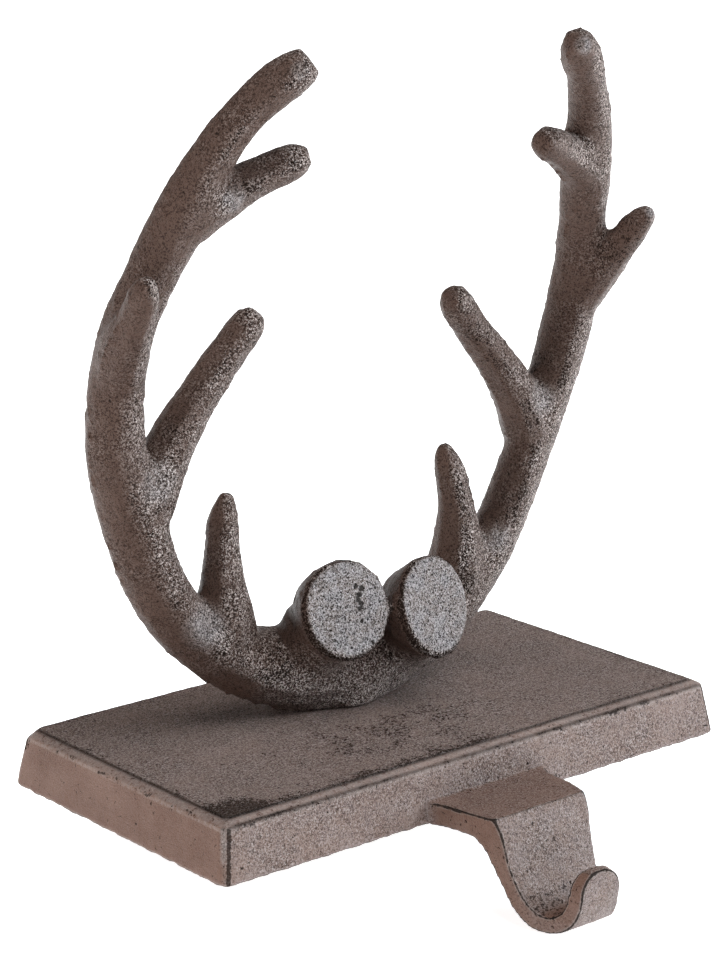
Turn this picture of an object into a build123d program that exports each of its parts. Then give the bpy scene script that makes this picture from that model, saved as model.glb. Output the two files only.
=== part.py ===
"""Cast-iron stocking holder for a mantel: a weighted base with a hook, and a pair of antlers on top."""
import os
from math import cos, radians, sin

from build123d import *

# Frame: +X right, front (hook side) towards -Y, +Z up. Millimetres.
# The origin is the middle of the base's underside, which lies on the mantel.

# base plate
BASE_LENGTH = 166.6
BASE_DEPTH = 93.4
BASE_CORNER = 3.0
SIDE_HEIGHT = 14.0
SIDE_DRAFT = 2.0
BORDER_WIDTH = 3.4
BORDER_RISE = 0.9
BORDER_CORNER = 2.0
TOP_STEP = 0.3
TOP_Z = SIDE_HEIGHT + BORDER_RISE + TOP_STEP
SOLE_BEVEL = 0.6

# hollow under the plate
WALL = 5.0
ROOF = 5.2
HOLLOW_CORNER = 4.0
HOLLOW_DRAFT = 1.0

# hook, side view as (distance in front of the plate, z): the face that holds the loop, then the back
HOOK_THICK = 5.7
HOOK_FACE = [(19.6, 6.0), (22.3, 1.0), (23.8, -5.0), (26.2, -10.5), (29.4, -15.2),
             (33.2, -17.0), (36.4, -15.2), (38.1, -10.5), (38.4, -4.6)]
HOOK_BACK = [(12.4, 0.0), (15.6, -1.4), (18.6, -5.6), (21.6, -11.0), (25.0, -16.6),
             (28.8, -20.2), (33.4, -21.4), (37.8, -19.8), (40.8, -15.6), (42.0, -10.5), (41.8, -4.6)]
# hook, half of the plan as (x, distance in front of the plate): flared root, tapering tongue
HOOK_PLAN = [(22.6, -2.2), (19.0, 1.6), (17.4, 9.4), (15.2, 20.4), (12.0, 29.4), (8.0, 37.4), (5.8, 45.4)]
HOOK_TIP_ROUND = 5.5
HOOK_ROOT = 0.8 * WALL

# the antlers sit this far off the middle of the plate
CAST_X = -0.6

# screw from below that holds the antlers
SCREW_Y = 9.0
SCREW_D = 5.0
SCREW_PLAY = 0.6
SCREW_REACH = 12.0
THREAD_PLAY = 0.1
TAPPED_DEPTH = SCREW_REACH + 2.0
HEAD_D = 1.9 * SCREW_D
HEAD_H = 0.6 * SCREW_D
HEAD_CLEAR = 0.6
SLOT_W = 1.2
SLOT_DEPTH = 0.4 * HEAD_H
BOSS_D = 2.0 * HEAD_D
SEAT_Z = HEAD_CLEAR + HEAD_H

# antlers, right half, measured from the plate's top; each key is (x, y, z, radius, how oval)
BEAM = [(0.0, 8.0, 10.3, 10.5, 0.0), (17.0, 10.0, 11.3, 10.6, 0.0), (31.0, 11.3, 15.8, 10.0, 0.0),
        (42.0, 11.4, 22.0, 8.7, 0.1), (50.7, 11.5, 29.3, 7.8, 0.2), (63.0, 11.0, 49.8, 7.4, 0.25),
        (67.4, 9.5, 61.8, 7.6, 0.25), (73.0, 7.3, 78.8, 7.3, 0.1), (75.0, 3.5, 94.8, 7.1, 0.0),
        (74.7, -0.6, 109.8, 6.9, 0.0), (71.1, -5.8, 123.8, 6.4, 0.0), (65.9, -13.0, 140.3, 6.9, 0.0),
        (61.5, -18.3, 152.3, 5.6, 0.0), (55.0, -24.0, 163.6, 5.2, 0.0), (42.0, -33.5, 175.6, 4.9, 0.0)]
# each tine starts inside the beam
TREZ_TINE = [(66.0, 10.0, 54.8, 5.0, 0.0), (63.8, 8.6, 64.8, 7.7, 0.0), (58.5, 7.7, 75.8, 6.7, 0.0),
             (47.0, 7.2, 90.8, 5.3, 0.0), (32.0, 3.6, 108.6, 4.6, 0.0)]
BROW_TINE = [(40.5, 11.2, 16.8, 5.0, 0.0), (39.2, 10.2, 26.3, 9.2, 0.0), (39.8, 9.6, 33.8, 7.3, 0.0),
             (39.6, 10.0, 45.8, 5.2, 0.0), (36.2, 11.3, 62.8, 3.8, 0.0)]
FORK_TINE = [(69.2, -9.0, 130.8, 4.5, 0.0), (63.8, -13.0, 139.1, 7.0, 0.0), (57.0, -16.0, 143.1, 6.0, 0.0),
             (49.4, -19.6, 146.8, 5.0, 0.0), (37.4, -25.0, 150.8, 4.4, 0.0)]
OUTER_TINE = [(75.0, 4.0, 91.8, 4.5, 0.0), (76.3, -0.5, 101.8, 6.5, 0.0), (78.0, -5.8, 109.2, 6.0, 0.0),
              (79.3, -13.0, 117.2, 4.7, 0.0), (81.5, -21.5, 127.4, 3.6, 0.0)]
# a casting is not quite even: each tip stands this much higher on the left and lower on the right,
# and this much further to the right on both sides
BEAM_LIFT = 0.3
BEAM_SHIFT = 0.0
TINES = [(TREZ_TINE, 1.5, 0.6), (BROW_TINE, -0.3, -0.3), (FORK_TINE, 2.0, 1.0), (OUTER_TINE, 0.8, -0.3)]
BEAM_SIDES = 14
BEAM_STEP = 12.0
TINE_SIDES = 8
TINE_STEP = 7.0
# the long axis of an oval section points inwards and to the front
OVAL_X = 0.78
OVAL_Y = 0.63
# rounded tip: steps back from the end and section sizes, both in tip radii
TIP_DOME = [(0.95, 1.0), (0.35, 0.8), (0.0, 0.45)]

# sawn-off stubs: half of the outline as (distance behind the flat face, radius), and where the faces are
STUB = [(0.0, 0.0), (0.0, 11.7), (0.7, 12.7), (2.0, 13.1), (6.0, 12.3), (12.0, 10.2), (16.0, 6.0),
        (16.0, 0.0)]
LEFT_STUB = (-13.2, -8.0, 30.6)
LEFT_TURN = -9.0
LEFT_TILT = 13.0
RIGHT_STUB = (13.7, -11.8, 27.1)
RIGHT_TURN = 5.0
RIGHT_TILT = 14.0
# the neck from the middle of a stub down and outwards to the bow
NECK_BACK = 9.0
NECK_OUT = 2.0
NECK_DROP = 5.5
NECK_R = 10.0
NECK_END = (15.0, 9.6, 10.5, 9.2, 0.0)

# flat foot under the bow: half of its outline as (x, y)
FOOT = [(0.0, -0.6), (11.0, 3.0), (21.0, 9.2), (22.5, 14.5), (14.0, 18.8), (0.0, 20.0)]
FOOT_H = 6.0


def block(length, depth, corner, z):
    """A rounded rectangle on a level plane."""
    return Plane.XY.offset(z) * RectangleRounded(length, depth, corner)


def upright(diameter, z, height):
    """A round bar on the screw's axis."""
    bar = Cylinder(diameter / 2, height, align=(Align.CENTER, Align.CENTER, Align.MIN))
    return Pos(CAST_X, SCREW_Y, z) * bar


def make_plate():
    """The hollow plate with its bevelled border, and the boss for the screw."""
    side_length = BASE_LENGTH - 2 * SIDE_DRAFT
    side_depth = BASE_DEPTH - 2 * SIDE_DRAFT
    top_length = side_length - 2 * BORDER_WIDTH
    top_depth = side_depth - 2 * BORDER_WIDTH
    border_z = SIDE_HEIGHT + BORDER_RISE
    roof_z = TOP_Z - ROOF
    hollow_length = BASE_LENGTH - 2 * WALL
    hollow_depth = BASE_DEPTH - 2 * WALL
    body = loft([block(BASE_LENGTH - 2 * SOLE_BEVEL, BASE_DEPTH - 2 * SOLE_BEVEL, BASE_CORNER, 0),
                 block(BASE_LENGTH, BASE_DEPTH, BASE_CORNER, SOLE_BEVEL),
                 block(side_length, side_depth, BASE_CORNER, SIDE_HEIGHT),
                 block(top_length, top_depth, BORDER_CORNER, border_z)], ruled=True)
    body += extrude(block(top_length - 2 * TOP_STEP, top_depth - 2 * TOP_STEP, BORDER_CORNER, border_z), TOP_STEP)
    body -= loft([block(hollow_length, hollow_depth, HOLLOW_CORNER, 0),
                  block(hollow_length - 2 * HOLLOW_DRAFT, hollow_depth - 2 * HOLLOW_DRAFT, HOLLOW_CORNER, roof_z)],
                 ruled=True)
    body += upright(BOSS_D, SEAT_Z, roof_z - SEAT_Z + ROOF / 2)
    return body - upright(SCREW_D + SCREW_PLAY, 0, TOP_Z)


def make_hook():
    """The hook: a tapering tongue bent down and curled up in front."""
    front = -BASE_DEPTH / 2
    face = [(front - out, z) for out, z in HOOK_FACE]
    back = [(front - out, z) for out, z in HOOK_BACK]
    face_start = (front + HOOK_ROOT, HOOK_THICK)
    back_start = (front + HOOK_ROOT, 0.0)
    outline = Line(face_start, face[0])
    outline += Spline(*face)
    outline += Line(face[-1], back[-1])
    outline += Spline(*back)
    outline += Line(back[0], back_start)
    outline += Line(back_start, face_start)
    right_plan = [(x, front - out) for x, out in HOOK_PLAN]
    left_plan = [(-x, y) for x, y in reversed(right_plan)]
    plan = Spline(*right_plan)
    plan += Line(right_plan[-1], left_plan[0])
    plan += Spline(*left_plan)
    plan += Line(left_plan[-1], right_plan[0])
    reach = 2 * HOOK_PLAN[0][0]
    tongue = extrude(Plane.YZ * make_face(outline.edges()), reach, both=True)
    tongue &= extrude(make_face(plan.edges()), reach, both=True)
    top = tongue.faces().filter_by(Axis.Z).sort_by(Axis.Y)[0]
    ends = top.edges().sort_by(Axis.X)
    return fillet([ends[0], ends[-1]], HOOK_TIP_ROUND)


def make_base():
    """The plate and hook in one casting."""
    return make_plate() + make_hook()


def ring(plane, radius, oval, sides):
    """A many-sided section, longer towards the inside and the front where it is oval."""
    side = 1 if plane.origin.X > 0 else -1
    longest = Vector(-side * OVAL_X, -OVAL_Y, 0)
    corners = []
    for i in range(sides):
        angle = radians(360 * i / sides)
        reach = plane.x_dir * cos(angle) + plane.y_dir * sin(angle)
        size = radius * (1 + oval * (reach.dot(longest) ** 2 - 0.5))
        corners.append((size * cos(angle), size * sin(angle)))
    return plane * Polygon(*corners, align=None)


def between(keys, marks, distance):
    """Radius and ovalness at a distance along a path whose keys lie at the marks."""
    i = max(k for k in range(len(marks) - 1) if marks[k] <= distance)
    share = (distance - marks[i]) / (marks[i + 1] - marks[i])
    return [a + (b - a) * share for a, b in zip(keys[i][3:], keys[i + 1][3:])]


def tube(keys, sides, step, two_tips=False):
    """A bar with a rounded end, lofted along a smooth path through keys of (x, y, z, radius, how oval)."""
    points = [Vector(*key[:3]) for key in keys]
    path = Spline(*points)
    marks = [0.0]
    for before, after in zip(points, points[1:]):
        marks.append(marks[-1] + (after - before).length)
    first_r = keys[0][3]
    last_r = keys[-1][3]
    begin = TIP_DOME[0][0] * first_r if two_tips else 0.0
    end = marks[-1] - TIP_DOME[0][0] * last_r
    count = round((end - begin) / step)
    stops = [(begin + (end - begin) * i / count, 1.0) for i in range(count + 1)]
    stops += [(marks[-1] - back * last_r, share) for back, share in TIP_DOME[1:]]
    if two_tips:
        stops = [(back * first_r, share) for back, share in reversed(TIP_DOME[1:])] + stops
    across = Vector(0, -1, 0)
    sections = []
    for distance, share in stops:
        place = distance / marks[-1]
        along = path % place
        across = (across - along * across.dot(along)).normalized()
        radius, oval = between(keys, marks, distance)
        plane = Plane(origin=path @ place, x_dir=across, z_dir=along)
        sections.append(ring(plane, radius * share, oval, sides))
    return loft(sections)


def on_side(keys, side, lift, shift):
    """The keys on one side, drawn out of place little by little towards the tip."""
    placed = []
    for i, (x, y, z, radius, oval) in enumerate(keys):
        share = i / (len(keys) - 1)
        placed.append((side * x + shift * share, y, z - side * lift * share, radius, oval))
    return placed


def make_stub(face, turn, tilt):
    """A round stub with a flat sawn face, and the neck that joins it to the bow."""
    knob = revolve(make_face(Polyline(*STUB, close=True)), Axis.X)
    spot = Pos(*face) * Rot(0, 0, 90 + turn) * Rot(0, tilt, 0)
    x, y, z = face
    side = 1 if x > 0 else -1
    neck_start = (x + side * NECK_OUT, y + NECK_BACK, z - NECK_DROP, NECK_R, 0.0)
    neck_end = (side * NECK_END[0], *NECK_END[1:])
    return spot * knob + tube([neck_start, neck_end], BEAM_SIDES, TINE_STEP)


def make_foot():
    """The flat pad under the bow."""
    left_half = [(-x, y) for x, y in reversed(FOOT[1:-1])]
    return extrude(make_face(Spline(*(FOOT + left_half), periodic=True)), FOOT_H)


def make_antlers():
    """Both antlers, the bow that joins them, the stubs and the foot."""
    right = on_side(BEAM, 1, BEAM_LIFT, BEAM_SHIFT)
    left = on_side(BEAM, -1, BEAM_LIFT, BEAM_SHIFT)
    body = tube(list(reversed(left[1:])) + right, BEAM_SIDES, BEAM_STEP, two_tips=True)
    for keys, lift, shift in TINES:
        for side in (-1, 1):
            body += tube(on_side(keys, side, lift, shift), TINE_SIDES, TINE_STEP)
    body += make_stub(LEFT_STUB, LEFT_TURN, LEFT_TILT)
    body += make_stub(RIGHT_STUB, RIGHT_TURN, RIGHT_TILT)
    body += make_foot()
    body = split(body, Plane.XY, Keep.TOP)
    return Pos(CAST_X, 0, TOP_Z) * body - upright(SCREW_D + THREAD_PLAY, TOP_Z, TAPPED_DEPTH)


def make_screw():
    """A slotted machine screw, head down."""
    slot = Pos(CAST_X, SCREW_Y, HEAD_CLEAR) * Box(2 * HEAD_D, SLOT_W, 2 * SLOT_DEPTH)
    shank = upright(SCREW_D, SEAT_Z, TOP_Z - SEAT_Z + SCREW_REACH)
    return upright(HEAD_D, HEAD_CLEAR, HEAD_H) + shank - slot


os.makedirs("parts", exist_ok=True)
export_step(make_base(), "parts/base.step")
export_step(make_antlers(), "parts/antlers.step")
export_step(make_screw(), "parts/fixing_screw.step")
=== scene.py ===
"""Cast-iron stocking holder for a mantel: the looks of its base, hook, antlers and screw."""
import math

import bmesh
import bpy
import numpy as np
from bpy.props import FloatProperty, FloatVectorProperty, IntProperty, PointerProperty
from mathutils import Matrix, Vector, noise


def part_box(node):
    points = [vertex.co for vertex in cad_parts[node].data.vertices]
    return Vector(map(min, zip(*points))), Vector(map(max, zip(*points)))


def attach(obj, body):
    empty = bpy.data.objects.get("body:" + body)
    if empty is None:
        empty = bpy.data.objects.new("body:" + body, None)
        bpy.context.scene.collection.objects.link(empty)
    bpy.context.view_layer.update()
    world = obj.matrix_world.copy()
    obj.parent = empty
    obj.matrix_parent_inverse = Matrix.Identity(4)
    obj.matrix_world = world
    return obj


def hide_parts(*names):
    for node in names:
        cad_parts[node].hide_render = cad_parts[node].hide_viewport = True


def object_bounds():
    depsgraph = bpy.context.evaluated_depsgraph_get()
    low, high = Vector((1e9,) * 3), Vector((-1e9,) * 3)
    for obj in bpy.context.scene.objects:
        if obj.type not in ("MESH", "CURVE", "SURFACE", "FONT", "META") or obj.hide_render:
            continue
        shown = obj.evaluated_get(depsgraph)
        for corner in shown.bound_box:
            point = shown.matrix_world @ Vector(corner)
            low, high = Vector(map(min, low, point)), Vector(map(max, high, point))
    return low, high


bl_info = {
    "name": "Antler Stocking Holder",
    "version": (1, 0, 0),
    "blender": (4, 5, 0),
    "location": "3D View > Sidebar > Stocking Holder",
    "description": "Dresses the cast-iron stocking holder: base plate, hook, antlers and screw",
    "category": "Object",
}

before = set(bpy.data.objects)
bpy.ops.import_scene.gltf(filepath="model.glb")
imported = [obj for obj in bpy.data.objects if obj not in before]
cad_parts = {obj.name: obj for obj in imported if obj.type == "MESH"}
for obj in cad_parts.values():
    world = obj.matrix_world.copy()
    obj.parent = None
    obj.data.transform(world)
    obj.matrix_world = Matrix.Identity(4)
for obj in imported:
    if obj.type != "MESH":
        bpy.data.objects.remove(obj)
CAD_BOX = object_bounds()
BASE_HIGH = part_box("base")[1]
MM = 0.001

# the plate lies evenly about the origin, and the hook reaches out in front of it
HALF_LENGTH = BASE_HIGH.x
HALF_DEPTH = BASE_HIGH.y
PLATE_FRONT = -HALF_DEPTH
PLATE_TOP = BASE_HIGH.z
FLOOR_GAP = 0.3 * MM

# flat ends of the two stubs: middle of the face, turn about the upright and tilt upwards in degrees,
# and how much wider and taller the end is than round
STUB_FACES = [
    (Vector((-13.8, -8.0, 45.8)) * MM, -9.0, 13.0, -0.02, 0.02),
    (Vector((13.1, -11.8, 42.3)) * MM, 5.0, 14.0, -0.06, 0.06),
]
STUB_RADIUS = 13.1 * MM
# which way the tines' crest, their worn side with painted glints and their saddles with painted highlights
# face
CREST_WAY = np.array((-0.309, -0.951, 0.0))
WORN_AND_LIT_WAY = np.array((0.81, -0.20, 0.55))
SADDLE_WAY = np.array((0.20, -0.64, 0.74))
# places on the antlers that get a painted highlight, or are kept black, some as painted shade: middle and
# radius in mm
HIGHLIGHT_SPOTS = [
    (-65.0, 2.0, 87.0, 7.0), (-50.5, 4.0, 46.5, 8.0), (49.5, 5.0, 50.5, 5.5),
    (62.8, 2.2, 88.5, 6.0), (-57.6, -21.6, 159.3, 4.5), (-47.5, -35.5, 190.0, 3.0),
    (42.7, -35.6, 188.9, 3.5), (80.0, -22.8, 141.0, 2.5),
]
BLACK_AND_SHADED_SPOTS = [
    (66.0, 6.6, 98.0, 10.0), (52.4, 7.0, 59.1, 9.0), (74.0, -13.1, 130.2, 10.0),
    (76.0, -18.6, 133.4, 14.0), (-58.5, 4.0, 99.0, 10.0), (-53.0, 3.0, 106.0, 9.0),
    (53.9, -18.4, 170.1, 10.0), (-57.0, -23.0, 166.0, 8.0), (40.5, 1.8, 110.8, 11.0),
    (48.0, 2.0, 103.0, 9.0), (80.0, -20.0, 137.0, 8.0), (44.0, -26.0, 160.0, 8.0),
]
# ends of tines that are sawn off or thin: end in mm, the way it points, radius in mm,
# and how flat and how thin it gets
TINE_ENDS = [
    ((-42.6, -33.5, 191.1), (0.65, -0.47, 0.60), 4.9, 1.0, 0.0),
    ((41.4, -33.5, 190.5), (-0.65, -0.47, 0.60), 4.9, 0.0, 0.12),
    ((-37.1, 11.3, 77.7), (0.195, 0.075, 0.977), 3.8, 0.0, 0.25),
    ((35.3, 11.3, 78.3), (-0.195, 0.075, 0.977), 3.8, 0.0, 0.25),
    ((80.6, -21.5, 141.8), (0.163, -0.631, 0.758), 3.6, 0.0, 0.14),
    ((-82.4, -21.5, 143.4), (-0.163, -0.631, 0.758), 3.6, 0.0, 0.15),
]
# how far that shaping reaches: aside in radii, and back from the end
END_REACH = 1.6
END_LENGTH = 12.0 * MM
THIN_LENGTH = 10.0 * MM
# the rounded part of an end in radii, and how much it is pushed out before it is cut flat
DOME = 0.95
PUSH = 1.35
# pits in the left stub's face: right and up of its middle, and radius, in mm
PITS = [
    (3.1, 6.0, 0.8), (4.6, 5.2, 0.9), (3.8, 3.6, 0.9), (3.3, 2.4, 0.85), (4.0, 1.4, 1.0),
    (3.5, 0.1, 0.75), (6.9, 7.7, 0.45), (8.7, 4.8, 0.4), (3.6, -3.3, 0.55), (4.6, -3.9, 0.45),
    (6.2, -9.4, 0.65), (9.7, 0.9, 0.4), (0.1, -2.6, 0.4), (-4.2, 2.2, 0.35), (-6.0, -4.4, 0.4),
]

# wear and light painted on the points of a casting and read by its finish: edges with a painted highlight
# beside them, black where sharp; black patina and painted shade in the hollows; bare metal, also painted as
# highlights and reflections; ragged black stains, in places painted shade; and how worn the grain is, which
# sets its painted glints
CHANNELS = ("edge", "shade_and_patina", "bare", "stain", "worn")
# how the finish lies on a casting: strength of the glints, how far the pits spread over what isn't worn,
# how many pits, parts of the flecks and the grain in the stains, and how soft the stains end
PLATE_LOOK = {"shine": 1.0, "spread": 0.2, "pitted": 0.465, "flecks": 1.2, "grain": 0.4, "soft": 0.12}
ANTLER_LOOK = {"shine": 1.35, "spread": 0.7, "pitted": 0.48, "flecks": 0.7, "grain": 0.9, "soft": 0.15}
# how the sawn metal differs in colour where it is warm and where it glints
WARM_SHARES = (0.86, 0.78, 0.72)
BARE_GLINT = 1.55
# the screw's steel, bright and tarnished
STEEL = (0.42, 0.41, 0.39, 1.0)
TARNISHED = (0.20, 0.18, 0.16, 1.0)


def length(name, description, default, **limits):
    """A size that a user may change."""
    return FloatProperty(name=name, description=description, default=default, unit="LENGTH",
                         precision=5, **limits)


def share(name, description, default):
    """A share from none to all."""
    return FloatProperty(name=name, description=description, default=default, min=0.0, max=1.0,
                         subtype="FACTOR")


def colour(name, description, default):
    """A finish's colour."""
    return FloatVectorProperty(name=name, description=description, default=default, size=4,
                               subtype="COLOR", min=0.0, max=1.0)


class IronSettings(bpy.types.PropertyGroup):
    """Colours and grain of the rubbed iron."""
    brown: colour("Brown", "Rubbed brown finish", (0.146, 0.086, 0.066, 1.0))
    umber: colour("Umber", "Darker brown in the patches", (0.108, 0.057, 0.041, 1.0))
    black: colour("Black", "Black coat in pits and on rubbed edges", (0.008, 0.006, 0.005, 1.0))
    # painted glints: grey metal on the tops of the grain that also stands in for the lights' sparkle on it
    glint: colour("Glint", "Grey metal on the top of the grain", (0.340, 0.290, 0.270, 1.0))
    # the grey of the sawn faces is also painted as highlights on the antlers' saddles and as reflections on
    # the plate's and hook's fronts
    bare: colour("Bare", "Grey of the sawn faces", (0.225, 0.207, 0.208, 1.0))
    roughness: share("Roughness", "Roughness of the satin finish", 0.38)
    grain: length("Grain", "Size of the grain", 0.45 * MM, min=0.1 * MM)
    antler_tone: share("Antler tone", "How bright the antlers are beside the base", 0.50)


class AntlerSettings(bpy.types.PropertyGroup):
    """Sizes of the antlers' cast skin."""
    voxel: length("Mesh step", "Spacing of the mesh over the casting", 0.71 * MM, min=0.3 * MM)
    fillet_passes: IntProperty(name="Fillet passes", description="How far the crotches are filled",
                               default=60, min=0)
    bow_passes: IntProperty(name="Bow passes", description="How far the stubs' necks run into the bow",
                            default=220, min=0)
    smooth_passes: IntProperty(name="Smooth passes", description="How far the facets are rounded",
                               default=5, min=0)
    lump: length("Lumps", "Height of the broad unevenness", 0.30 * MM)
    grain: length("Grain", "Height of the cast grain", 0.13 * MM)
    flash: length("Flash", "Height of the parting line", 0.55 * MM)
    crest: length("Crest", "Height of the crest along the front of the tines", 1.00 * MM)
    bumps: length("Bumps", "Height of the scattered bumps", 0.26 * MM)


class PlateSettings(bpy.types.PropertyGroup):
    """Sizes of the base plate."""
    step: length("Mesh step", "Spacing of the mesh over the plate", 0.75 * MM, min=0.4 * MM)
    side_height: length("Side height", "Height of the outer edge", 14.0 * MM)
    side_draft: length("Side draft", "How far the sides lean in", 2.0 * MM)
    border_width: length("Border width", "Width of the bevelled border", 2.6 * MM)
    border_rise: length("Border rise", "Rise of the bevelled border", 0.9 * MM)
    groove: length("Groove", "Width of the line round the panel", 0.3 * MM)
    panel_right: length("Panel to the right", "How far the panel lies to the right of the middle", 0.2 * MM)
    panel_front: length("Panel to the front", "How far the panel lies in front of the middle", -0.7 * MM)
    worn_corner: length("Worn corners", "How far the outer edge drops at the back corners", 1.6 * MM)
    corner: length("Corner", "Radius of the upright corners", 3.0 * MM)
    panel_corner: length("Panel corner", "Radius of the panel's corners", 2.0 * MM)
    sole_round: length("Sole rounding", "Rounding of the edge round the sole", 0.9 * MM)
    wall: length("Wall", "Wall round the hollow underside", 5.0 * MM)
    roof: length("Roof", "Thickness over the hollow", 5.2 * MM)
    hollow_corner: length("Hollow corner", "Radius of the hollow's corners", 4.0 * MM)
    hollow_draft: length("Hollow draft", "How far the hollow's walls lean in", 1.0 * MM)
    boss_radius: length("Boss radius", "Radius of the boss round the screw", 9.5 * MM)
    boss_seat: length("Boss seat", "Height of the face under the screw's head", 3.6 * MM)
    hole_radius: length("Hole radius", "Radius of the screw's hole", 2.8 * MM)
    grain: length("Grain", "Height of the cast grain", 0.07 * MM)


class HookSettings(bpy.types.PropertyGroup):
    """Sizes of the hook's cast skin."""
    voxel: length("Mesh step", "Spacing of the mesh over the hook", 0.42 * MM, min=0.3 * MM)
    fillet_passes: IntProperty(name="Fillet passes", description="How far the root runs into the plate",
                               default=14, min=0)
    smooth_passes: IntProperty(name="Smooth passes", description="How far the edges are rounded",
                               default=5, min=0)
    root: length("Root", "How far the hook goes into the plate", 3.0 * MM)
    slab: length("Slab", "Half width of the wall behind the hook", 30.0 * MM)
    slab_top: length("Slab top", "Height of the wall behind the hook", 11.0 * MM)
    grain: length("Grain", "Height of the cast grain", 0.06 * MM)


class StageSettings(bpy.types.PropertyGroup):
    """Floor and light."""
    floor: colour("Floor", "Pale floor", (0.90, 0.90, 0.90, 1.0))
    glow: FloatProperty(name="Floor glow", description="Light that shines up through the floor",
                        default=0.80, min=0.0)
    world: FloatProperty(name="Room", description="Strength of the even light", default=0.17, min=0.0)
    sun: FloatProperty(name="Overhead", description="Strength of the overhead light", default=3.2, min=0.0)
    right: FloatProperty(name="Right box", description="Power of the right softbox", default=25.0, min=0.0,
                         unit="POWER")
    left: FloatProperty(name="Left box", description="Power of the left softbox", default=9.5, min=0.0,
                        unit="POWER")


class Skin:
    """The points and edges of a mesh, to smooth and measure it."""

    def __init__(self, mesh):
        self.mesh = mesh
        count = len(mesh.vertices)
        flat = np.empty(count * 3, np.float32)
        mesh.vertices.foreach_get("co", flat)
        self.points = flat.reshape(-1, 3).astype(float)
        ends = np.empty(len(mesh.edges) * 2, np.int32)
        mesh.edges.foreach_get("vertices", ends)
        self.ends = ends.reshape(-1, 2)
        self.degree = np.maximum(np.bincount(ends, minlength=count), 1)

    def write(self):
        """Put the points back into the mesh."""
        self.mesh.vertices.foreach_set("co", self.points.astype(np.float32).ravel())
        self.mesh.update()

    def normals(self):
        """Unit normals at the points as they are now."""
        self.write()
        flat = np.empty(len(self.points) * 3, np.float32)
        self.mesh.vertex_normals.foreach_get("vector", flat)
        return flat.reshape(-1, 3).astype(float)

    def average(self, values):
        """Mean of each point's neighbours."""
        a, b = self.ends.T
        count = len(self.degree)
        columns = values.reshape(count, -1).T
        sums = [np.bincount(a, c[b], count) + np.bincount(b, c[a], count) for c in columns]
        return (np.array(sums).T / self.degree[:, None]).reshape(values.shape)

    def smoothed(self, passes):
        """The points evened out."""
        found = self.points
        for _ in range(passes):
            found = 0.5 * found + 0.5 * self.average(found)
        return found

    def fill_creases(self, passes, where=1.0, every=10):
        """Raise the hollows only, so that inner corners get a cast fillet."""
        for i in range(passes):
            if i % every == 0:
                normals = self.normals()
            rise = np.einsum("ij,ij->i", self.average(self.points) - self.points, normals)
            self.points += (0.7 * where * np.maximum(rise, 0.0))[:, None] * normals

    def relief(self, passes):
        """How far each point stands out of its smoothed surroundings."""
        return np.einsum("ij,ij->i", self.points - self.smoothed(passes), self.normals())

    def paint(self, name, values):
        """Keep values as an attribute that the finish reads."""
        kept = self.mesh.attributes.new(name, "FLOAT", "POINT")
        kept.data.foreach_set("value", np.clip(values, 0.0, 1.0).astype(np.float32))


def ramp(values, low, high):
    """A smooth step from 0 at low to 1 at high."""
    t = np.clip((values - low) / (high - low), 0.0, 1.0)
    return t * t * (3.0 - 2.0 * t)


def lumps(points, size, seed, octaves=2):
    """Smooth noise from about -1 to 1 whose lumps have the given size."""
    start = Vector((seed * 7.13, seed * 3.71, seed * 5.39))
    return np.array([noise.fractal(Vector(p) / size + start, 1.0, 2.0, octaves) for p in points])


def toned(paint, tone):
    """A colour made lighter or darker."""
    return tuple(tone * part for part in paint[:3]) + (1.0,)


def near_spots(points, spots):
    """1 in the middle of the given spots, and 0 outside them."""
    found = np.zeros(len(points))
    for *middle, radius in spots:
        away = np.linalg.norm(points - np.array(middle) * MM, axis=1)
        found = np.maximum(found, ramp(away, radius * MM, 0.3 * radius * MM))
    return found


def shape_ends(points):
    """Square off or thin the ends of some tines."""
    for end, way, radius, flat, thin in TINE_ENDS:
        away = points - np.array(end) * MM
        along = away @ np.array(way)
        aside = away - np.outer(along, way)
        near = (np.linalg.norm(aside, axis=1) < END_REACH * radius * MM) * (along > -END_LENGTH)
        dome = DOME * radius * MM
        height = np.maximum(along + dome, 0.0)
        points += np.outer(near * flat * (np.minimum(PUSH * height, dome) - height), way)
        points -= aside * (near * thin * ramp(along, -THIN_LENGTH, 0.0))[:, None]


def cad_copy(node):
    """A node's mesh as one closed shell."""
    shell = bmesh.new()
    shell.from_mesh(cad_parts[node].data)
    bmesh.ops.remove_doubles(shell, verts=shell.verts, dist=1e-6)
    return shell


def as_mesh(shell, name):
    """A finished bmesh as a mesh."""
    mesh = bpy.data.meshes.new(name)
    shell.to_mesh(mesh)
    shell.free()
    return mesh


def even_mesh(mesh, voxel):
    """The same shape with an even mesh."""
    rough = bpy.data.objects.new("rough", mesh)
    bpy.context.scene.collection.objects.link(rough)
    remesh = rough.modifiers.new("even", "REMESH")
    remesh.mode = "VOXEL"
    remesh.voxel_size = voxel
    graph = bpy.context.evaluated_depsgraph_get()
    even = bpy.data.meshes.new_from_object(rough.evaluated_get(graph))
    even.name = mesh.name
    bpy.data.objects.remove(rough)
    bpy.data.meshes.remove(mesh)
    return even


def place(mesh, material, node):
    """Make a mesh a piece that stands for a node."""
    mesh.materials.clear()
    mesh.materials.append(material)
    mesh.shade_smooth()
    piece = bpy.data.objects.new(mesh.name, mesh)
    bpy.context.scene.collection.objects.link(piece)
    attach(piece, "root")
    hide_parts(node)


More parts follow.
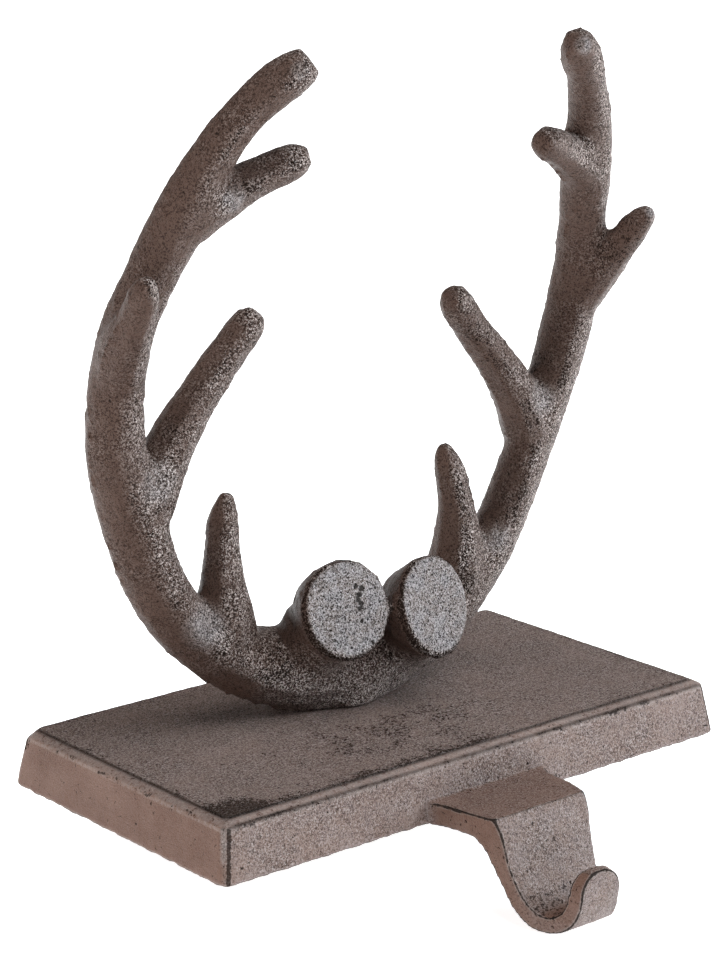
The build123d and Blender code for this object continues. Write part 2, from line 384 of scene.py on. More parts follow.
class Finish:
    """A material's nodes, added by short calls."""

    def __init__(self, name):
        self.material = bpy.data.materials.new(name)
        self.material.use_nodes = True
        self.tree = self.material.node_tree
        self.tree.nodes.clear()
        self.coordinates = self.add("TexCoord").outputs["Object"]

    def add(self, kind, sockets=(), **settings):
        """A new node, with its settings and the values or links of its sockets."""
        made = self.tree.nodes.new("ShaderNode" + kind)
        for key, value in settings.items():
            setattr(made, key, value)
        for key, value in dict(sockets).items():
            self.put(made.inputs[key], value)
        return made

    def put(self, socket, value):
        """Link another node's output to a socket, or set its value."""
        if isinstance(value, bpy.types.NodeSocket):
            self.tree.links.new(value, socket)
        else:
            socket.default_value = value

    def noise(self, size, detail=2.0, rough=0.5, twist=0.0):
        """Noise with features of about the given size."""
        sockets = {"Vector": self.coordinates, "Scale": 1.0 / size, "Detail": detail,
                   "Roughness": rough, "Distortion": twist}
        return self.add("TexNoise", sockets).outputs["Fac"]

    def band(self, value, low, high, first=0.0, last=1.0):
        """The first number, or 0, at low, and the last, or 1, at high."""
        sockets = {"Value": value, "From Min": low, "From Max": high, "To Min": first, "To Max": last}
        return self.add("MapRange", sockets).outputs["Result"]

    def math(self, operation, a, b):
        """The result of one operation on two numbers."""
        return self.add("Math", {0: a, 1: b}, operation=operation).outputs[0]

    def plus(self, a, b):
        """a and b added."""
        return self.math("ADD", a, b)

    def times(self, a, b):
        """a multiplied by b."""
        return self.math("MULTIPLY", a, b)

    def most(self, a, b):
        """The larger of a and b."""
        return self.math("MAXIMUM", a, b)

    def mix(self, amount, a, b):
        """Colour a turned into colour b by the amount."""
        sockets = {0: amount, 6: a, 7: b}
        return self.add("Mix", sockets, data_type="RGBA").outputs[2]

    def painted(self, name):
        """An attribute of the mesh."""
        return self.add("Attribute", attribute_name=name).outputs["Fac"]

    def close(self, sockets):
        """Join the shader to the output."""
        shader = self.add("BsdfPrincipled", sockets)
        self.add("OutputMaterial", {"Surface": shader.outputs[0]})
        return self.material


def rubbed_iron(name, look, tone=1.0, pits=()):
    """Brown finish rubbed over black cast iron, speckled with pits and painted glints where it is worn,
    black on the edges with painted highlights beside them, and painted shade in the hollows.
    """
    s = bpy.context.scene.holder_iron
    black, glint = tuple(s.black), toned(s.glint, look["shine"])
    warm_bare = tuple(part * warm for part, warm in zip(s.bare, WARM_SHARES)) + (1.0,)
    f = Finish(name)
    grain = f.noise(s.grain, 2.0, 0.55, 0.9)
    dust = f.noise(0.5 * s.grain, 1.0)
    patch = f.noise(13.0 * MM, 3.0, 0.6)
    fleck = f.noise(2.6 * s.grain, 3.0, 0.65, 0.5)
    edge, shade_and_patina, bare, stain, worn = (f.painted(key) for key in CHANNELS)
    # brown patches and sawn metal, whose grey also serves as painted highlights and reflections, with
    # painted glints on top of the worn grain
    amount = f.most(f.band(f.plus(worn, f.times(patch, 0.6)), 0.40, 1.05), bare)
    plain = f.mix(f.band(patch, 0.35, 0.65), toned(s.brown, tone), toned(s.umber, tone))
    sawn = f.mix(f.band(f.noise(4.5 * MM, 2.0), 0.40, 0.60), warm_bare, tuple(s.bare))
    glints = f.times(f.band(grain, 0.53, 0.61), amount)
    body = f.mix(glints, f.mix(bare, plain, sawn), f.mix(bare, glint, toned(s.bare, BARE_GLINT)))
    # black dots in the grain
    spread = f.band(amount, look["spread"] / (look["spread"] - 1.0), 1.0)
    dots = f.times(f.band(grain, look["pitted"], look["pitted"] - 0.06), spread)
    dots = f.times(f.most(dots, f.band(fleck, 0.37, 0.31)), 0.92)
    body = f.mix(dots, body, black)
    # edges: a painted highlight beside them, and black where they are sharp and rubbed through
    edge_highlight = f.times(f.band(edge, 0.10, 0.40), f.band(fleck, 0.35, 0.65))
    rubbed = f.band(f.plus(edge, f.times(fleck, 0.9)), 0.85, 1.10)
    body = f.mix(f.times(edge_highlight, 0.6), body, glint)
    body = f.mix(f.times(rubbed, 0.88), body, black)
    # ragged stains, in places painted shade, and black patina with painted shade in the hollows
    ragged = f.math("SUBTRACT", f.times(fleck, look["flecks"]), f.times(grain, look["grain"]))
    start = 0.42 + 0.5 * (look["flecks"] - look["grain"])
    dark = f.band(f.plus(stain, ragged), start, start + look["soft"])
    body = f.mix(f.times(dark, 0.76), body, black)
    body = f.mix(f.times(shade_and_patina, 0.75), body, black)
    height = f.plus(grain, f.times(dust, 0.35))
    if pits:
        hole = f.times(pit_mask(f, pits), 0.94)
        body = f.mix(hole, body, black)
        height = f.math("SUBTRACT", height, hole)
    holes = f.most(f.most(dots, dark), f.most(rubbed, shade_and_patina))
    bump = f.add("Bump", {"Strength": f.band(amount, -1.2, 0.8), "Distance": 0.90 * MM, "Height": height})
    return f.close({"Base Color": body,
                    "Roughness": f.plus(f.times(dust, 0.2), s.roughness - 0.1),
                    "Metallic": f.times(glints, 0.5),
                    "Specular IOR Level": f.band(holes, 1.0, -0.4, 0.0, 0.30),
                    "Specular Tint": (1.0, 0.86, 0.80, 1.0),
                    "Normal": bump.outputs[0]})


def pit_mask(f, pits):
    """1 inside the given (middle, radius) balls, with ragged edges."""
    ragged = f.times(f.math("SUBTRACT", f.noise(0.8 * MM, 2.0), 0.5), 1.1 * MM)
    mask = 0.0
    for middle, radius in pits:
        sockets = {0: f.coordinates, 1: tuple(middle)}
        away = f.add("VectorMath", sockets, operation="DISTANCE").outputs["Value"]
        mask = f.most(mask, f.band(f.plus(away, ragged), radius, radius - 0.25 * MM))
    return mask


def plain_steel(name):
    """Turned steel of the screw, a little tarnished."""
    f = Finish(name)
    tarnish = f.noise(1.8 * MM, 3.0, 0.6)
    turned = f.noise(0.2 * MM, 1.0, 0.5)
    body = f.mix(f.band(tarnish, 0.4, 0.7), STEEL, TARNISHED)
    rough = f.plus(f.times(tarnish, 0.3), 0.2)
    bump = f.add("Bump", {"Strength": 0.3, "Distance": 0.05 * MM, "Height": turned})
    return f.close({"Base Color": body, "Roughness": rough, "Normal": bump.outputs[0], "Metallic": 1.0})


def face_axes(turn, tilt):
    """Outward normal of a stub's flat face, and the ways right and up in it."""
    lean = math.radians(tilt)
    out = Matrix.Rotation(math.radians(turn), 3, "Z") @ Vector((0.0, -1.0, 0.0))
    out = out * math.cos(lean) + Vector((0.0, 0.0, math.sin(lean)))
    right = Vector((0.0, 0.0, 1.0)).cross(out).normalized()
    return out, right, out.cross(right)


def pit_places():
    """The pits of the left stub's face as (middle, radius)."""
    face, turn, tilt, _, _ = STUB_FACES[0]
    _, right, up = face_axes(turn, tilt)
    return [(face + (right * x + up * y) * MM, radius * MM) for x, y, radius in PITS]


def stub_places(points, face, turn, tilt):
    """Height over a stub's face, reach from its middle, places right and up in it, and those two ways."""
    out, right, up = (np.array(axis) for axis in face_axes(turn, tilt))
    away = points - np.array(face)
    across = away @ right
    along = away @ up
    return away @ out, np.hypot(across, along), across, along, right, up


def near_stubs(points):
    """1 at the stubs' ends, which keep their sharp rims."""
    found = np.zeros(len(points))
    for face, turn, tilt, _, _ in STUB_FACES:
        height, reach = stub_places(points, face, turn, tilt)[:2]
        end = ramp(height, -6.0 * MM, -3.5 * MM)
        end *= ramp(reach, STUB_RADIUS + 4.0 * MM, STUB_RADIUS + 2.0 * MM)
        found = np.maximum(found, end)
    return found


def saw_stubs(skin):
    """Make the stubs' ends a little oval, and find their sawn faces and dark rims."""
    bare = np.zeros(len(skin.points))
    rim = np.zeros(len(skin.points))
    for face, turn, tilt, wider, taller in STUB_FACES:
        height, reach, across, along, right, up = stub_places(skin.points, face, turn, tilt)
        near = ramp(height, -7.0 * MM, -1.5 * MM) * (reach < STUB_RADIUS + 2.0 * MM)
        skin.points += np.outer(near * across * wider, right) + np.outer(near * along * taller, up)
        disc = (reach < STUB_RADIUS + 1.0 * MM) * (height > -4.0 * MM)
        lower_left = ramp(-along - 0.6 * across, -4.0 * MM, 14.0 * MM)
        brim = STUB_RADIUS - (0.8 + 1.2 * lower_left) * MM
        flat = disc * ramp(reach - brim, 0.5 * MM, -0.3 * MM) * ramp(height, -0.9 * MM, -0.5 * MM)
        ring = disc * ramp(reach - brim, -0.5 * MM, 0.4 * MM) * ramp(height, -2.6 * MM, -1.4 * MM)
        bare = np.maximum(bare, flat)
        rim = np.maximum(rim, ring)
    return bare, rim


def paint_antlers(skin, low, bare, rim, away, patchy):
    """Paint the dark crests, black patina and shade in the crotches, highlights on the saddles, sawn faces
    with their rims, the worn side with its glints and the lightened bow.
    """
    points = skin.points
    normals = skin.normals()
    # the side toward the lights on the right and above is worn and gets painted glints
    worn_and_lit_side = ramp(normals @ WORN_AND_LIT_WAY + 0.25 * lumps(points, 6.0 * MM, 14), -0.30, 0.45)
    # painted highlights on the saddles of the crotches and at the listed spots
    saddle_highlight = ramp(-skin.relief(60), 0.15 * MM, 0.55 * MM) * ramp(normals @ SADDLE_WAY, 0.45, 0.80)
    rubbed = near_spots(points, HIGHLIGHT_SPOTS) * ramp(-normals[:, 1], 0.3, 0.7)
    saddle_highlight = np.maximum(saddle_highlight, rubbed) * (1.0 - rim)
    # spots kept black, some of them painted shade on tines that face down, with fewer glints
    dull_and_shaded = near_spots(points, BLACK_AND_SHADED_SPOTS)
    band = ramp(away, 28.0, 8.0) * (0.38 + 0.16 * patchy)
    band = np.maximum(band, (0.24 + 0.22 * patchy) * dull_and_shaded)
    # black patina and painted shade in the crotches
    crotch = ramp(-skin.relief(24), 0.15 * MM, 0.60 * MM)
    # painted light: the bow's front underside, worn and lightened by glints
    under = low * ramp(-normals[:, 1], 0.1, 0.6)
    worn = 0.12 + (0.50 + 0.25 * patchy) * worn_and_lit_side + 0.4 * band + 0.45 * under
    skin.paint("edge", np.zeros(len(points)))
    skin.paint("shade_and_patina", crotch * (1.0 - saddle_highlight) * (1.0 - 0.5 * low))
    skin.paint("bare", np.maximum(bare, 0.55 * saddle_highlight))
    skin.paint("stain", np.maximum(band * (1.0 - bare) * (1.0 - saddle_highlight), 0.60 * rim))
    skin.paint("worn", worn * (1.0 - 0.55 * dull_and_shaded))


def roughen_antlers(skin, s, bare, away, patchy):
    """Raise the lumps, the sand's grain, the flash, the crest and the bumps, but not on the sawn faces."""
    points = skin.points.copy()
    normals = skin.normals()
    dome = skin.relief(60)
    tip = ramp(dome, np.quantile(dome, 0.96), np.quantile(dome, 0.99))
    seam = ramp(-np.abs(normals[:, 1]), -0.14, 0.0) * (1.0 - tip)
    broken = ramp(lumps(points, 2.4 * MM, 3), 0.1, 0.5) * ramp(lumps(points, 16.0 * MM, 12), -0.3, 0.2)
    rise = s.lump * lumps(points, 9.0 * MM, 1) + s.grain * lumps(points, 1.9 * MM, 2)
    rise += s.flash * seam * broken + s.crest * np.clip(1.0 - away / 50.0, 0.0, 1.0) ** 2
    rise += s.bumps * ramp(lumps(points, 2.1 * MM, 13), 0.30, 0.70) * (0.3 + 0.7 * patchy)
    rise *= 1.0 - 0.8 * bare
    skin.points += rise[:, None] * normals
    seated = points[:, 2] < PLATE_TOP + 0.45 * MM
    skin.points[seated, 2] = np.maximum(skin.points[seated, 2], PLATE_TOP)
    skin.write()


class HOLDER_OT_antlers(bpy.types.Operator):
    """Cast the antlers, with fillets at the crotches and the sand's grain"""
    bl_idname = "holder.antlers"
    bl_label = "Antlers"

    def execute(self, context):
        s = context.scene.holder_antlers
        mesh = even_mesh(as_mesh(cad_copy("antlers"), "antler_casting"), s.voxel)
        skin = Skin(mesh)
        start = skin.points.copy()
        soft = 1.0 - near_stubs(start)
        low = ramp(np.abs(start[:, 0]), 40.0 * MM, 28.0 * MM)
        low *= ramp(start[:, 2], PLATE_TOP + 26.0 * MM, PLATE_TOP + 14.0 * MM)
        skin.fill_creases(s.fillet_passes, soft)
        skin.fill_creases(s.bow_passes, low * soft)
        skin.points = skin.smoothed(s.smooth_passes)
        shape_ends(skin.points)
        bare, rim = saw_stubs(skin)
        away = np.degrees(np.arccos(np.clip(skin.normals() @ CREST_WAY, -1.0, 1.0)))
        patchy = ramp(lumps(skin.points, 9.0 * MM, 21), -0.35, 0.35)
        paint_antlers(skin, low, bare, rim, away, patchy)
        roughen_antlers(skin, s, bare, away, patchy)
        tone = context.scene.holder_iron.antler_tone
        place(mesh, rubbed_iron("antler_iron", ANTLER_LOOK, tone, pit_places()), "antlers")
        return {"FINISHED"}


def rounded(x, y, half_x, half_y, corner):
    """A point of a rectangle drawn in where it lies in a rounded corner."""
    over_x = abs(x) - (half_x - corner)
    over_y = abs(y) - (half_y - corner)
    if over_x <= 0.0 or over_y <= 0.0:
        return x, y
    shrink = max(over_x, over_y) / math.hypot(over_x, over_y)
    x = math.copysign(half_x - corner + over_x * shrink, x)
    y = math.copysign(half_y - corner + over_y * shrink, y)
    return x, y


def stretch(start, end, count):
    """Rings between two rings, the last one included."""
    return [tuple(a + (b - a) * i / count for a, b in zip(start, end)) for i in range(1, count + 1)]


def panel_inset(s):
    """How far the panel's edge lies inside the plate's foot."""
    return s.side_draft + s.border_width + s.groove


def plate_rings(s):
    """Rings of (inset, height, corner, share of the panel's shift), from the panel's edge to the hollow."""
    panel = panel_inset(s)
    bevel_top = (panel - s.groove - 0.2 * MM, s.side_height + s.border_rise, s.panel_corner, 1.0)
    bevel_foot = (s.side_draft + 0.7 * MM, s.side_height + 0.12 * MM, s.corner, 0.1)
    side_top = (s.side_draft - 0.02 * MM, s.side_height - 0.9 * MM, s.corner, 0.0)
    side_foot = (0.02 * MM, s.sole_round, s.corner, 0.0)
    sole = (s.sole_round, 0.0, s.corner, 0.0)
    mouth = (s.wall, 0.0, s.hollow_corner, 0.0)
    ceiling = (s.wall + s.hollow_draft, PLATE_TOP - s.roof, s.hollow_corner, 0.0)
    rings = [(panel - 0.10 * MM, PLATE_TOP - 0.05 * MM, s.panel_corner, 1.0),
             (panel - 0.6 * s.groove, PLATE_TOP - 0.45 * MM, s.panel_corner, 1.0),
             bevel_top]
    rings += stretch(bevel_top, bevel_foot, round(s.border_width / s.step))
    rings += [(s.side_draft + 0.32 * MM, s.side_height - 0.08 * MM, s.corner, 0.0),
              (s.side_draft + 0.10 * MM, s.side_height - 0.40 * MM, s.corner, 0.0), side_top]
    rings += stretch(side_top, side_foot, round(s.side_height / s.step))
    rings += [(0.12 * s.sole_round, 0.50 * s.sole_round, s.corner, 0.0),
              (0.40 * s.sole_round, 0.15 * s.sole_round, s.corner, 0.0), sole]
    rings += stretch(sole, mouth, 4)
    return rings + stretch(mouth, ceiling, 8)


def plate_shell(s):
    """The plate as one closed shell, hollow below, without the boss."""
    shell = bmesh.new()
    rim = shell.verts.layers.float_vector.new("rim")
    panel = panel_inset(s)
    ceiling = s.wall + s.hollow_draft
    columns = round(2 * (HALF_LENGTH - panel) / s.step)
    rows = round(2 * (HALF_DEPTH - panel) / s.step)

    def lay(vert, inset, height, corner, shifted):
        """Put a point on its ring."""
        half_x = HALF_LENGTH - inset
        half_y = HALF_DEPTH - inset
        x, y = rounded(vert[rim].x * half_x, vert[rim].y * half_y, half_x, half_y, corner)
        vert.co = (x + shifted * s.panel_right, y - shifted * s.panel_front, height)

    flats = [(panel, PLATE_TOP, s.panel_corner, 1.0), (ceiling, PLATE_TOP - s.roof, s.hollow_corner, 0.0)]
    for ring in flats:
        for vert in bmesh.ops.create_grid(shell, x_segments=columns, y_segments=rows, size=1.0)["verts"]:
            vert[rim] = vert.co
            lay(vert, *ring)
    edges = [e for e in shell.edges if e.is_boundary and e.verts[0].co.z > PLATE_TOP - MM]
    for ring in plate_rings(s):
        made = bmesh.ops.extrude_edge_only(shell, edges=edges)["geom"]
        for vert in (g for g in made if isinstance(g, bmesh.types.BMVert)):
            lay(vert, *ring)
        edges = [g for g in made if isinstance(g, bmesh.types.BMEdge) and g.is_boundary]
    bmesh.ops.remove_doubles(shell, verts=shell.verts, dist=0.02 * MM)
    bmesh.ops.recalc_face_normals(shell, faces=shell.faces)
    return shell


def add_boss(shell, s):
    """A round boss on the hollow's roof, with the screw's hole through it."""
    low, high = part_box("fixing_screw")
    axis = ((low + high) / 2).xy.to_3d()
    buried = PLATE_TOP - 0.5 * s.roof
    outline = [(s.boss_radius + 0.8 * MM, buried), (s.boss_radius + 0.3 * MM, PLATE_TOP - s.roof),
               (s.boss_radius, PLATE_TOP - s.roof - MM), (s.boss_radius, s.boss_seat + 0.5 * MM),
               (s.boss_radius - 0.5 * MM, s.boss_seat), (s.hole_radius, s.boss_seat),
               (s.hole_radius, buried)]
    verts = [shell.verts.new(axis + Vector((radius, 0.0, height))) for radius, height in outline]
    edges = [shell.edges.new((a, b)) for a, b in zip(verts, verts[1:] + verts[:1])]
    bmesh.ops.spin(shell, geom=verts + edges, cent=axis, axis=(0, 0, 1), angle=math.tau, steps=48,
                   use_merge=True)


def inside(points, right=0.0, front=0.0):
    """How far points lie inside the plate's outline, if it is shifted to the right and the front."""
    across = HALF_LENGTH - np.abs(points[:, 0] - right)
    return np.minimum(across, HALF_DEPTH - np.abs(points[:, 1] + front))


def plate_places(skin, s):
    """How far points lie inside the plate's outline, which are on the panel, and how near the sole."""
    z = skin.points[:, 2]
    inset = inside(skin.points)
    sole = ramp(z, 1.2 * MM, 0.3 * MM) * (inset < s.wall / 2)
    return inset, z > PLATE_TOP - 0.1 * MM, sole


def plate_stains(skin, s, top):
    """Flecks on the panel, thicker at its front, its left corner and the antlers' foot."""
    x, y, z = skin.points.T
    panel = panel_inset(s)
    inner = inside(skin.points, s.panel_right, s.panel_front)
    near_edge = ramp(inner, panel + 5.0 * MM, panel)
    drift = ramp(lumps(skin.points, 6.0 * MM, 15), -0.2, 0.5)
    front_edge = ramp(-y, 33.0 * MM, 42.0 * MM) * ramp(np.abs(x + 20.0 * MM), 45.0 * MM, 15.0 * MM)
    front_left = np.hypot((x + HALF_LENGTH - panel) / 1.5, y + HALF_DEPTH - panel + s.panel_front)
    back_left = np.hypot(x + HALF_LENGTH, y - HALF_DEPTH)
    foot = np.hypot((x + 10.0 * MM) / 2.0, y + 20.0 * MM)
    stain = 0.20 + 0.12 * drift + 0.22 * front_edge + 0.12 * near_edge
    stain += 0.55 * ramp(front_left, 17.0 * MM, 1.0 * MM) + 0.16 * ramp(foot, 24.0 * MM, 6.0 * MM)
    return stain * top + 0.60 * ramp(back_left, 9.0 * MM, 4.0 * MM) * (z > s.side_height - 3.0 * MM)


def paint_plate(skin, s):
    """Paint the panel's groove and flecks, the rubbed edges and corners with painted highlights beside
    them, painted light on the top, and the worn front with a painted reflection.
    """
    points = skin.points
    normals = skin.normals()
    y, z = points.T[1:]
    inset, top, sole = plate_places(skin, s)
    # the line round the panel, the bevel outside it and the outer edge
    inner = inside(points, s.panel_right, s.panel_front)
    groove = ramp(np.abs(inner - panel_inset(s) + 0.4 * s.groove), 0.60 * MM, 0.20 * MM)
    groove *= 0.9 * (z > s.side_height)
    bevel = (z > s.side_height - 0.2 * MM) * ~top
    bevel = bevel * ramp(inset, s.side_draft + 0.5 * MM, s.side_draft + 0.9 * MM)
    outer = np.hypot(inset - s.side_draft - 0.25 * MM, z - s.side_height + 0.2 * MM)
    outer = ramp(outer, 1.6 * MM, 0.5 * MM)
    lip = np.hypot(inset - s.side_draft - 0.45 * MM, z - s.side_height)
    lip = ramp(lip, 0.75 * MM, 0.25 * MM) * ramp(-y, HALF_DEPTH - 4.5 * MM, HALF_DEPTH - 3.5 * MM)
    # the upright corners at the front, dark on the front's side, with a painted highlight on the end's side
    turned = np.abs(np.degrees(np.arctan2(normals[:, 0], -normals[:, 1])))
    wall = (np.abs(normals[:, 2]) < 0.6) * (z > 0.2 * MM)
    upright = ramp(np.abs(turned - 28.0), 16.0, 8.0) * wall
    shine = ramp(np.abs(turned - 55.0), 14.0, 8.0) * ramp(z, 4.0 * MM, 8.0 * MM) * wall
    patches = ramp(lumps(points, 5.0 * MM, 16), -0.2, 0.4)
    # the front, worn and greyed by a painted reflection
    front = ramp(-normals[:, 1], 0.3, 0.8)
    rough = ramp(lumps(points, 15.0 * MM, 7), -0.3, 0.4)
    # edges with a painted highlight beside them, black where sharp; the top gets painted light the same way
    edges = [0.36 * outer, 0.45 * shine, 0.55 * sole, 0.36 * bevel, 0.20 * top]
    stains = [plate_stains(skin, s, top), 0.48 * outer * patches, 0.75 * upright]
    skin.paint("edge", np.maximum.reduce(edges))
    skin.paint("shade_and_patina", np.maximum(groove, lip * (0.75 + 0.25 * patches)))
    # sawn grey on the bevel, a painted highlight on the corners, a painted reflection on the front and a
    # little painted light on the top
    skin.paint("bare", np.maximum.reduce([0.12 * bevel, 0.8 * shine, 0.30 * front, 0.08 * top]))
    skin.paint("stain", np.maximum.reduce(stains))
    # worn grain with its painted glints, most of all on the front and the top
    skin.paint("worn", 0.03 + 0.34 * front + 0.60 * top + 0.25 * bevel + 0.15 * rough * (front + top))


def roughen_plate(skin, s):
    """Raise the sand's grain above the sole, and wear the outer edge down at the back corners."""
    points = skin.points.copy()
    x, y, z = points.T
    _, top, sole = plate_places(skin, s)
    rise = s.grain * lumps(points, 1.8 * MM, 5) + 0.12 * MM * lumps(points, 14.0 * MM, 6)
    rise += 0.25 * MM * sole * lumps(points, 2.6 * MM, 11)
    rise *= z > 0.1 * MM
    skin.points += rise[:, None] * skin.normals()
    worn = s.worn_corner * ramp(z, 4.0 * MM, s.side_height) * ~top
    for side in (-1, 1):
        corner = np.hypot(x - side * HALF_LENGTH, y - HALF_DEPTH)
        skin.points[:, 2] -= worn * ramp(corner, 8.0 * MM, 2.5 * MM)
    skin.write()


class HOLDER_OT_base_plate(bpy.types.Operator):
    """Cast the base plate with its bevelled border and hollow underside"""
    bl_idname = "holder.base_plate"
    bl_label = "Base plate"

    def execute(self, context):
        s = context.scene.holder_plate
        shell = plate_shell(s)
        add_boss(shell, s)
        mesh = as_mesh(shell, "base_plate")
        skin = Skin(mesh)
        paint_plate(skin, s)
        roughen_plate(skin, s)
        place(mesh, rubbed_iron("plate_iron", PLATE_LOOK), "base")
        return {"FINISHED"}


def wall_face(z, plate):
    """Where the plate's front face lies at a height."""
    return PLATE_FRONT + plate.side_draft * z / plate.side_height


def hook_shell(s):
    """The hook cut from the base, with a slab of the plate's front wall."""
    shell = cad_copy("base")
    cuts = [((0.0, PLATE_FRONT + s.root, 0.0), (0.0, 1.0, 0.0)), ((s.slab, 0.0, 0.0), (1.0, 0.0, 0.0)),
            ((-s.slab, 0.0, 0.0), (-1.0, 0.0, 0.0)), ((0.0, 0.0, s.slab_top), (0.0, 0.0, 1.0))]
    for spot, way in cuts:
        bmesh.ops.bisect_plane(shell, geom=shell.verts[:] + shell.edges[:] + shell.faces[:], dist=1e-7,
                               plane_co=spot, plane_no=way, clear_outer=True)
        bmesh.ops.holes_fill(shell, edges=[e for e in shell.edges if e.is_boundary], sides=0)
    bmesh.ops.recalc_face_normals(shell, faces=shell.faces)
    return shell


def paint_hook(skin, free, ahead):
    """Paint the black edges and fold, the stained sides, the darker top, painted shade low in the hook's
    curl, and the worn face with a painted reflection.
    """
    points = skin.points
    normals = skin.normals()
    y, z = points.T[1:]
    shelf = z > -5.0 * MM
    ridge = skin.relief(8)
    sharp = ramp(ridge, np.quantile(ridge, 0.84), np.quantile(ridge, 0.95)) * free
    hollow = ramp(-skin.relief(20), 0.10 * MM, 0.40 * MM)
    fold = ramp(np.abs(normals[:, 2] - 0.88), 0.10, 0.03) * ramp(ahead, 4.0 * MM, 8.0 * MM) * shelf
    above = ramp(normals[:, 2], 0.5, 0.9) * shelf
    throat_shade = ramp(normals[:, 2], 0.10, 0.60) * ramp(-z, 6.0 * MM, 14.0 * MM)
    sides = ramp(np.abs(normals[:, 0]), 0.5, 0.9)
    front = ramp(-normals[:, 1], 0.2, 0.8)
    face = front * (1.0 - 0.7 * ramp(-y, 83.0 * MM, 86.0 * MM))
    patchy = ramp(lumps(points, 9.0 * MM, 10), -0.3, 0.4)
    skin.paint("edge", 0.75 * sharp)
    skin.paint("shade_and_patina", np.maximum(0.5 * hollow, 0.75 * fold))
    # the front greyed by a painted reflection
    skin.paint("bare", 0.40 * front)
    # stained sides, a darker top and painted shade low in the curl
    skin.paint("stain", 0.28 * sides + 0.30 * above + 0.42 * throat_shade)
    skin.paint("worn", 0.05 + 0.30 * face + 0.35 * above + 0.15 * face * patchy)


def roughen_hook(skin, s, free, ahead):
    """Raise the sand's grain on the hook, and draw its root back into the plate."""
    points = skin.points.copy()
    rise = s.grain * lumps(points, 1.6 * MM, 8) + 0.12 * MM * lumps(points, 8.0 * MM, 9)
    skin.points += (rise * free)[:, None] * skin.normals()
    skin.points[:, 1] += 0.5 * MM * (1.0 - free)
    skin.points[:, 2] += 0.4 * MM * (ahead < 0.5 * MM) * (points[:, 2] < MM)
    skin.write()


class HOLDER_OT_hook(bpy.types.Operator):
    """Cast the hook that hangs in front of the mantel"""
    bl_idname = "holder.hook"
    bl_label = "Hook"

    def execute(self, context):
        s = context.scene.holder_hook
        mesh = even_mesh(as_mesh(hook_shell(s), "hook_casting"), s.voxel)
        skin = Skin(mesh)
        skin.fill_creases(s.fillet_passes)
        skin.points = skin.smoothed(s.smooth_passes)
        ahead = wall_face(skin.points[:, 2], context.scene.holder_plate) - skin.points[:, 1]
        free = ramp(ahead, 0.15 * MM, 0.8 * MM)
        paint_hook(skin, free, ahead)
        roughen_hook(skin, s, free, ahead)
        place(mesh, rubbed_iron("hook_iron", PLATE_LOOK), "base")
        return {"FINISHED"}


class HOLDER_OT_screw(bpy.types.Operator):
    """Give the fixing screw its steel"""
    bl_idname = "holder.screw"
    bl_label = "Fixing screw"

    def execute(self, context):
        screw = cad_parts["fixing_screw"]
        screw.data.materials.clear()
        screw.data.materials.append(plain_steel("screw_steel"))
        return {"FINISHED"}


# camera: what it looks at, how far away, its angles and its lens on a 36 mm frame
LOOK_AT = Vector((-1.4, 0.0, 76.8)) * MM
DISTANCE = 730.6 * MM
AZIMUTH = math.radians(-38.94)
ELEVATION = math.radians(14.80)
ROLL = math.radians(-0.74)
LENS = 104.9
# the pale floor, and where the soft lights stand
FLOOR_SIZE = 12.0
FLOOR_SHADE = 0.97
OVERHEAD_AT = Vector((0.2, -0.5, 1.2))
OVERHEAD_SPREAD = math.radians(60.0)
RIGHT_BOX_AT = Vector((0.95, -0.70, 0.32))
LEFT_BOX_AT = Vector((-1.10, 0.32, 0.25))
BOX = {"shape": "RECTANGLE", "size": 0.5, "size_y": 0.6}
COOL = (0.80, 0.92, 1.0)
WARM = (1.0, 0.97, 0.94)


def add_camera():
    """A camera where the picture was taken from."""
    back = Vector((math.sin(AZIMUTH) * math.cos(ELEVATION), -math.cos(AZIMUTH) * math.cos(ELEVATION),
                   math.sin(ELEVATION)))
    right = Vector((math.cos(AZIMUTH), math.sin(AZIMUTH), 0.0))
    up = back.cross(right)
    turn = Matrix((right, up, back)).transposed().to_4x4()
    camera = bpy.data.objects.new("camera", bpy.data.cameras.new("camera"))
    camera.data.lens = LENS
    camera.data.clip_start = 0.01
    camera.matrix_world = (Matrix.Translation(LOOK_AT + back * DISTANCE) @ turn
                           @ Matrix.Rotation(ROLL, 4, "Z"))
    bpy.context.scene.collection.objects.link(camera)
    bpy.context.scene.camera = camera


def add_light(name, kind, place_at, power, **settings):
    """A light that points at the middle of the object."""
    lamp = bpy.data.lights.new(name, kind)
    lamp.energy = power
    for key, value in settings.items():
        setattr(lamp, key, value)
    light = bpy.data.objects.new(name, lamp)
    light.location = place_at
    light.rotation_euler = (LOOK_AT - light.location).to_track_quat("-Z", "Y").to_euler()
    bpy.context.scene.collection.objects.link(light)


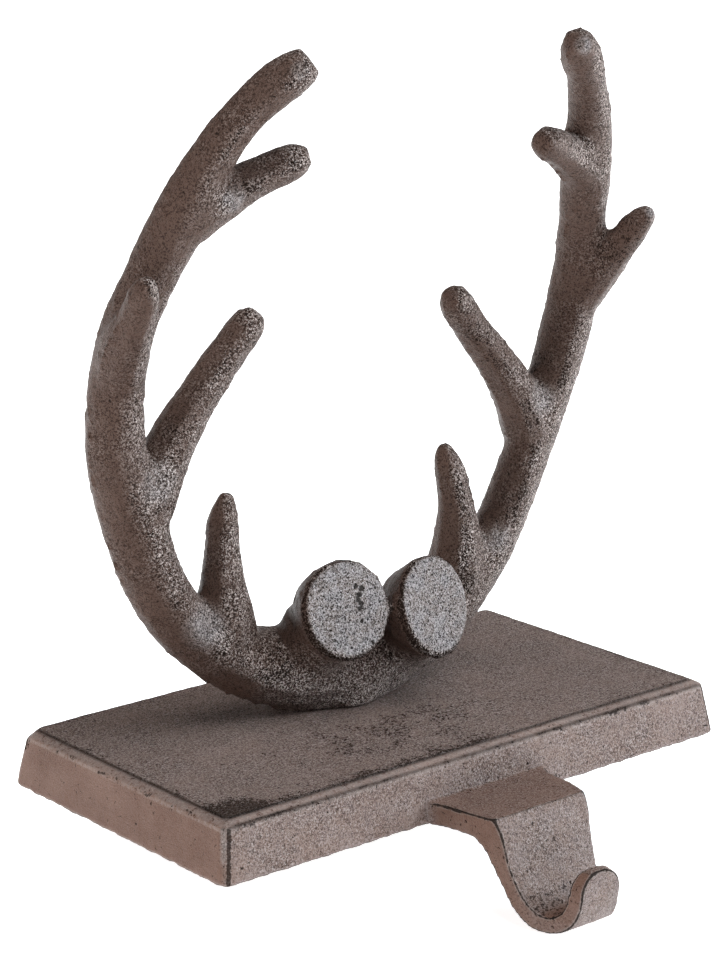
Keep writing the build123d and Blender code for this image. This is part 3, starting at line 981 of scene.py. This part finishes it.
class HOLDER_OT_stage(bpy.types.Operator):
    """Lay the pale floor and set up the light and the camera"""
    bl_idname = "holder.stage"
    bl_label = "Stage"

    def execute(self, context):
        s = context.scene.holder_stage
        shell = bmesh.new()
        bmesh.ops.create_grid(shell, x_segments=1, y_segments=1, size=FLOOR_SIZE / 2)
        bmesh.ops.translate(shell, verts=shell.verts, vec=(0.0, 0.0, CAD_BOX[0].z - FLOOR_GAP))
        floor = bpy.data.objects.new("floor", as_mesh(shell, "floor"))
        f = Finish("pale_floor")
        tone = f.mix(f.noise(0.4, 2.0), tuple(s.floor), toned(s.floor, FLOOR_SHADE))
        white = (1.0, 1.0, 1.0, 1.0)
        floor.data.materials.append(f.close({"Base Color": tone, "Roughness": 0.9,
                                             "Emission Color": white, "Emission Strength": s.glow}))
        context.scene.collection.objects.link(floor)
        world = bpy.data.worlds.new("room")
        world.use_nodes = True
        background = world.node_tree.nodes["Background"]
        background.inputs["Color"].default_value = white
        background.inputs["Strength"].default_value = s.world
        context.scene.world = world
        add_light("overhead", "SUN", OVERHEAD_AT, s.sun, angle=OVERHEAD_SPREAD)
        add_light("right_box", "AREA", RIGHT_BOX_AT, s.right, color=COOL, **BOX)
        add_light("left_box", "AREA", LEFT_BOX_AT, s.left, color=WARM, **BOX)
        context.scene.view_settings.view_transform = "Standard"
        add_camera()
        return {"FINISHED"}


PIECES = [HOLDER_OT_base_plate, HOLDER_OT_hook, HOLDER_OT_antlers, HOLDER_OT_screw, HOLDER_OT_stage]
SETTINGS = {"holder_iron": IronSettings, "holder_antlers": AntlerSettings, "holder_plate": PlateSettings,
            "holder_hook": HookSettings, "holder_stage": StageSettings}


class HOLDER_PT_panel(bpy.types.Panel):
    """Lists the pieces and their settings"""
    bl_idname = "HOLDER_PT_panel"
    bl_label = "Stocking Holder"
    bl_space_type = "VIEW_3D"
    bl_region_type = "UI"
    bl_category = "Stocking Holder"

    def draw(self, context):
        """One button for each piece, and its sizes and colours below."""
        for piece in PIECES:
            self.layout.operator(piece.bl_idname)
        for key in SETTINGS:
            box = self.layout.box()
            settings = getattr(context.scene, key)
            for name in settings.bl_rna.properties.keys():
                if name not in ("rna_type", "name"):
                    box.prop(settings, name)


CLASSES = [*SETTINGS.values(), *PIECES, HOLDER_PT_panel]


def register():
    """Make the operators, the panel and the settings known."""
    for made in CLASSES:
        bpy.utils.register_class(made)
    for key, made in SETTINGS.items():
        setattr(bpy.types.Scene, key, PointerProperty(type=made))


def unregister():
    """Take them away again."""
    for key in SETTINGS:
        delattr(bpy.types.Scene, key)
    for made in reversed(CLASSES):
        bpy.utils.unregister_class(made)


def main():
    """Dress the holder and set the stage."""
    register()
    bpy.ops.holder.base_plate()
    bpy.ops.holder.hook()
    bpy.ops.holder.antlers()
    bpy.ops.holder.screw()
    bpy.ops.holder.stage()


if __name__ == "__main__":
    main()
